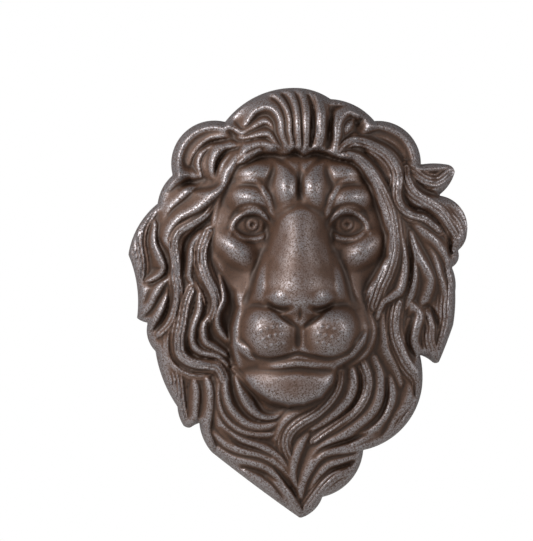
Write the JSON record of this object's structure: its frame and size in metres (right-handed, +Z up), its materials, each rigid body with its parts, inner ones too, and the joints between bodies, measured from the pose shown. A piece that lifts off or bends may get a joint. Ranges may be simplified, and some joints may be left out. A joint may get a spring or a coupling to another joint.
{
  "type": "lion head wall mask",
  "caption": "Cast-iron lion head wall plaque: frontal face in high relief with a full curling mane, hollow behind, with a flat back rim and a hanger bar cast across the hollow.",
  "frame": {"origin": "middle of the hanger bar's back face, in the plane of the flat back rim", "axes": "+Z up the wall, the face looks along -Y, +Y runs into the wall, +X to the viewer's right"},
  "size_m": [0.195, 0.0597, 0.2476],
  "materials": {
    "lion_mask": "rough sand-cast iron, warm brown patina, rubbed grey on the crests"
  },
  "bodies": {
    "root": {"lion_mask": "lion_mask"}
  },
  "joints": []
}
